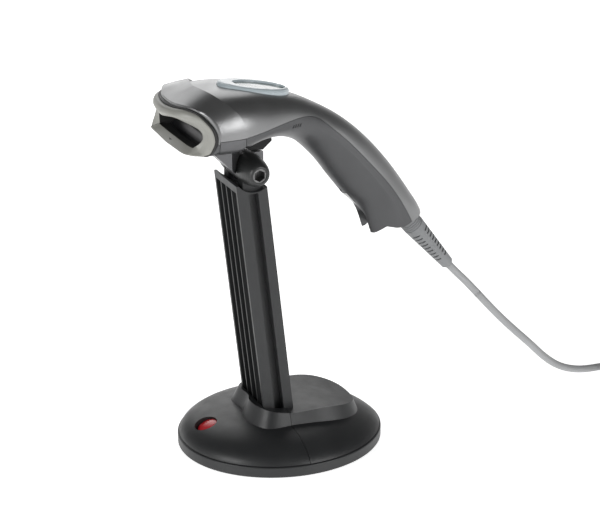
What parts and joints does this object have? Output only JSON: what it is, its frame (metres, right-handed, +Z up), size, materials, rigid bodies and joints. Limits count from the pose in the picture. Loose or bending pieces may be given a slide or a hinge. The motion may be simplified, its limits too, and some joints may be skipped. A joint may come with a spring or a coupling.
{
  "type": "handheld barcode scanner",
  "caption": "Gun-shaped handheld barcode scanner resting in the cup of a tilting desk stand with an oval base, its cable running off the handle.",
  "frame": {"origin": "on the table, at the centre of the stand's oval base", "axes": "+Z up; the scanner's nose points along -Y and its handle along +Y; the scanner's left side is +X, as seen by someone holding it"},
  "size_m": [0.13, 0.428, 0.2383],
  "materials": {
    "stand_plastic": "fine matte texture",
    "weight_iron": "rough",
    "pad_rubber": "soft",
    "dark_steel": "blackened",
    "bright_steel": "plain",
    "nylon": "plain",
    "badge_red": "gloss",
    "upper_shell": "satin with fine metallic flake",
    "lower_shell": "satin",
    "nose_plastic": "satin",
    "black_rubber": "matte",
    "window_glass": "clear, dark red tint",
    "ring_plastic": "translucent satin",
    "lens_plastic": "smoky translucent",
    "trigger_plastic": "matte",
    "board": "solder mask",
    "chassis_plastic": "plain",
    "laser_brass": "plain",
    "mirror_glass": "polished",
    "label_film": "blank film",
    "boot_rubber": "matte",
    "cable_jacket": "matte",
    "plug_plastic": "matte"
  },
  "bodies": {
    "stand": {"base_pad": "pad_rubber", "base_plate": "stand_plastic", "base_weight": "weight_iron", "base_cover_front": "stand_plastic", "base_cover_rear": "stand_plastic", "base_screws": "bright_steel", "badge": "badge_red", "post": "stand_plastic", "pivot_cover_left": "stand_plastic", "pivot_cover_right": "stand_plastic", "friction_washers": "nylon", "pivot_bolt": "dark_steel", "pivot_nut": "bright_steel", "cord_lower": "cable_jacket", "cord_coil": "cable_jacket", "cord_tail": "cable_jacket", "cord_tie": "black_rubber", "usb_plug": "plug_plastic"},
    "cradle": {"cradle": "stand_plastic"},
    "scanner": {"top_shell": "upper_shell", "bottom_shell": "lower_shell", "nose_gasket": "black_rubber", "nose_bezel": "nose_plastic", "scan_window": "window_glass", "light_ring": "ring_plastic", "ring_lens": "lens_plastic", "trigger_pin": "bright_steel", "trigger_spring": "bright_steel", "trigger_switch": "chassis_plastic", "switch_board": "board", "main_board": "board", "scan_chassis": "chassis_plastic", "laser_module": "laser_brass", "mirror_pin": "bright_steel", "collecting_mirror": "mirror_glass", "photo_sensor": "chassis_plastic", "status_board": "board", "beeper": "chassis_plastic", "decode_board": "board", "cable_socket": "nylon", "rating_label": "label_film", "shell_screws": "bright_steel", "strain_relief": "boot_rubber", "cord_upper": "cable_jacket"},
    "trigger": {"trigger": "trigger_plastic"},
    "scan_mirror": {"scan_mirror": "mirror_glass"}
  },
  "joints": [
    {"name": "tilt", "type": "hinge", "parent": "stand", "child": "cradle", "pos_m": [0, -0.0232, 0.1858], "axis": [1, 0, 0], "range_deg": [-27, 37.5], "deforming": ["cord_lower"]},
    {"name": "lift_off", "type": "slide", "parent": "cradle", "child": "scanner", "axis": [0, 0, 1], "range_m": [0, 0.05], "deforming": ["cord_upper"]},
    {"name": "trigger_pull", "type": "hinge", "parent": "scanner", "child": "trigger", "pos_m": [0, -0.0174, 0.2084], "axis": [1, 0, 0], "range_deg": [0, 5], "stiffness_Nm_per_rad": 0.1, "springref_deg": -3.44, "deforming": ["trigger_spring"]},
    {"name": "mirror_swing", "type": "hinge", "parent": "scanner", "child": "scan_mirror", "pos_m": [-0.005, -0.04, 0.2134], "axis": [0, 0, 1], "range_deg": [-8, 8], "stiffness_Nm_per_rad": 0.00002}
  ]
}
